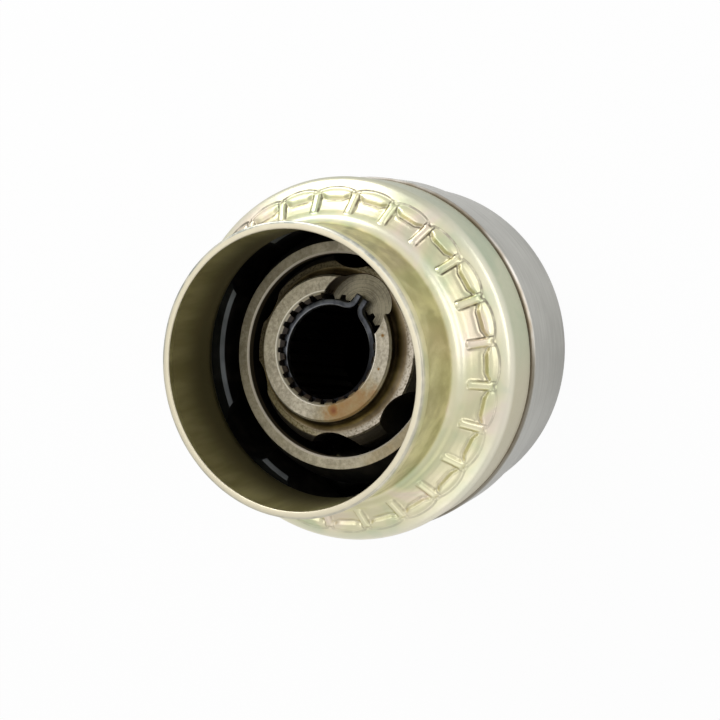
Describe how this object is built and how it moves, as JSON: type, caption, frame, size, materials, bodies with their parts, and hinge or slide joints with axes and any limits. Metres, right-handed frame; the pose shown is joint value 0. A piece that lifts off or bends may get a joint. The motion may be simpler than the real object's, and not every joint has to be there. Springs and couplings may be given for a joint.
{
  "type": "constant velocity joint",
  "caption": "Plunging ball-type constant velocity joint with skewed grooves, a windowed cage and a crimped sheet-steel boot cover.",
  "frame": {"origin": "centre of the flat back face of the end cap, on the axis of the outer race", "axes": "+Z along the outer race's axis towards the neck of the boot cover; +X the side to which the inner race leans at rest"},
  "size_m": [0.1024, 0.1024, 0.0826],
  "materials": {
    "ground_steel": "ground, bare",
    "zinc_cover": "zinc plated, yellow passivated",
    "seal_rubber": "matt",
    "zinc_cap": "zinc plated, yellow passivated",
    "cage_steel": "hardened, face ground",
    "machined_steel": "turned, oiled",
    "spring_steel": "blackened",
    "ball_steel": "polished"
  },
  "bodies": {
    "housing": {"outer_race": "ground_steel", "boot_cover": "zinc_cover", "cover_seal": "seal_rubber", "end_cap": "zinc_cap"},
    "cage": {"ball_cage": "cage_steel"},
    "inner": {"inner_race": "machined_steel", "retaining_ring": "spring_steel"},
    "ball_1_body": {"ball_1": "ball_steel"},
    "ball_2_body": {"ball_2": "ball_steel"},
    "ball_3_body": {"ball_3": "ball_steel"},
    "ball_4_body": {"ball_4": "ball_steel"},
    "ball_5_body": {"ball_5": "ball_steel"},
    "ball_6_body": {"ball_6": "ball_steel"}
  },
  "joints": [
    {"name": "cage_bend", "type": "hinge", "parent": "housing", "child": "cage", "pos_m": [0, 0, 0.03295], "axis": [0, 1, 0], "range_deg": [-13.5, 4.5]},
    {"name": "inner_race_bend", "type": "hinge", "parent": "cage", "child": "inner", "pos_m": [0, 0, 0.03295], "axis": [0, 1, 0], "range_deg": [-13.55, 4.55]},
    {"name": "ball_1_slide", "type": "slide", "parent": "cage", "child": "ball_1_body", "axis": [0.3081, 0.9511, -0.0242], "range_m": [-0.00056, 0.00163]},
    {"name": "ball_2_slide", "type": "slide", "parent": "cage", "child": "ball_2_body", "axis": [-0.6671, 0.7431, 0.0525], "range_m": [-0.00131, 0.00045]},
    {"name": "ball_3_slide", "type": "slide", "parent": "cage", "child": "ball_3_body", "axis": [-0.9751, -0.2079, 0.0767], "range_m": [-0.000433, 0.000158]},
    {"name": "ball_4_slide", "type": "slide", "parent": "cage", "child": "ball_4_body", "axis": [-0.3081, -0.9511, 0.0242], "range_m": [-0.00054, 0.00159]},
    {"name": "ball_5_slide", "type": "slide", "parent": "cage", "child": "ball_5_body", "axis": [0.6671, -0.7431, -0.0525], "range_m": [-0.00122, 0.00042]},
    {"name": "ball_6_slide", "type": "slide", "parent": "cage", "child": "ball_6_body", "axis": [0.9751, 0.2079, -0.0767], "range_m": [-0.000302, 0.000114]}
  ],
  "couplings": [
    {"joint": "inner_race_bend", "follows": "cage_bend", "ratio": 1},
    {"joint": "ball_1_slide", "follows": "cage_bend", "m_per_rad": -0.006836},
    {"joint": "ball_2_slide", "follows": "cage_bend", "m_per_rad": 0.005462},
    {"joint": "ball_3_slide", "follows": "cage_bend", "m_per_rad": 0.001752},
    {"joint": "ball_4_slide", "follows": "cage_bend", "m_per_rad": -0.006661},
    {"joint": "ball_5_slide", "follows": "cage_bend", "m_per_rad": 0.005083},
    {"joint": "ball_6_slide", "follows": "cage_bend", "m_per_rad": 0.001198}
  ]
}
